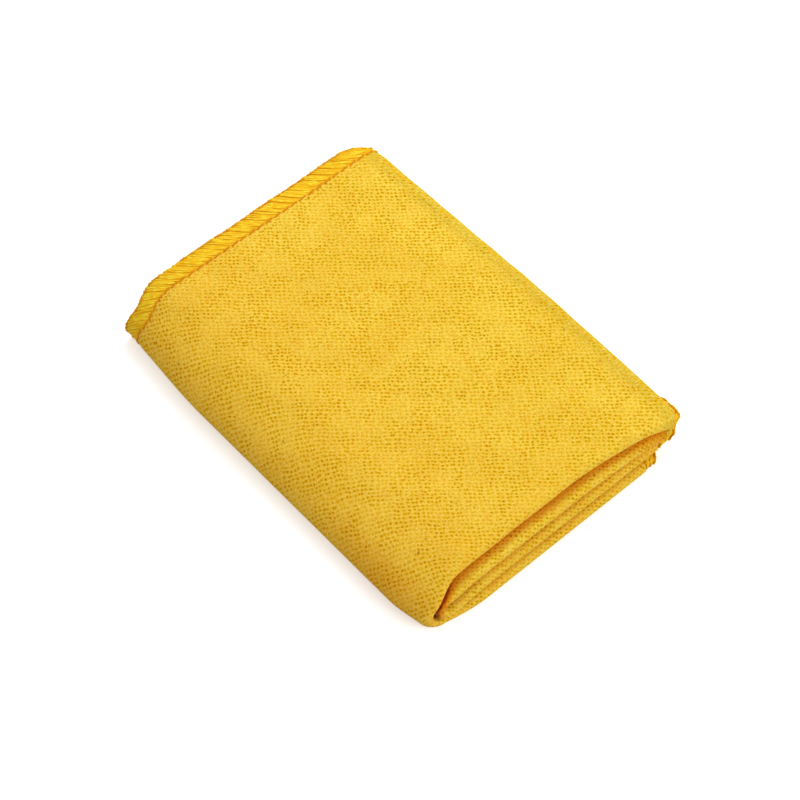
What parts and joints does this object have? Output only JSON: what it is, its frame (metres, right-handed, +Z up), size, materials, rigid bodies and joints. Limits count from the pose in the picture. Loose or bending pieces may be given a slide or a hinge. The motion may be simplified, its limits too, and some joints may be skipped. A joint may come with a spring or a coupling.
{
  "type": "folded cleaning cloth",
  "caption": "Napped cotton twill duster with an overlock-stitched hem, folded into a flat rectangular pack that opens like a book.",
  "frame": {"origin": "centre of the pack's outline, on the surface it lies on", "axes": "+X across the pack from the double left fold to the free ends, +Y along the leaves from the folded noses to the hemmed edges, +Z up"},
  "size_m": [0.0898, 0.1254, 0.0136],
  "materials": {
    "cloth": "napped cotton twill, matt",
    "hem_thread": "overlock thread, matt"
  },
  "bodies": {
    "lower_half": {"leaf_third": "cloth", "leaf_bottom": "cloth", "fold_left_outer": "cloth", "fold_left_inner": "cloth", "hem_left_outer_outside": "hem_thread", "hem_left_outer_inside": "hem_thread", "hem_left_inner_outside": "hem_thread", "hem_left_inner_inside": "hem_thread", "hem_third_upper": "hem_thread", "hem_bottom_upper": "hem_thread", "hem_third_lower": "hem_thread", "hem_bottom_lower": "hem_thread", "hem_end_third": "hem_thread", "hem_end_bottom": "hem_thread"},
    "upper_half": {"leaf_top": "cloth", "leaf_second": "cloth", "fold_right": "cloth", "hem_top_upper": "hem_thread", "hem_top_lower": "hem_thread", "hem_second_upper": "hem_thread", "hem_second_lower": "hem_thread", "hem_right_outside": "hem_thread", "hem_right_inside": "hem_thread"}
  },
  "joints": [
    {"name": "open_fold", "type": "hinge", "parent": "lower_half", "child": "upper_half", "pos_m": [-0.0414, 0, 0.0068], "axis": [0, -1, 0], "range_deg": [0, 180], "deforming": ["fold_left_outer", "fold_left_inner", "hem_left_outer_outside", "hem_left_outer_inside", "hem_left_inner_outside", "hem_left_inner_inside"]}
  ]
}
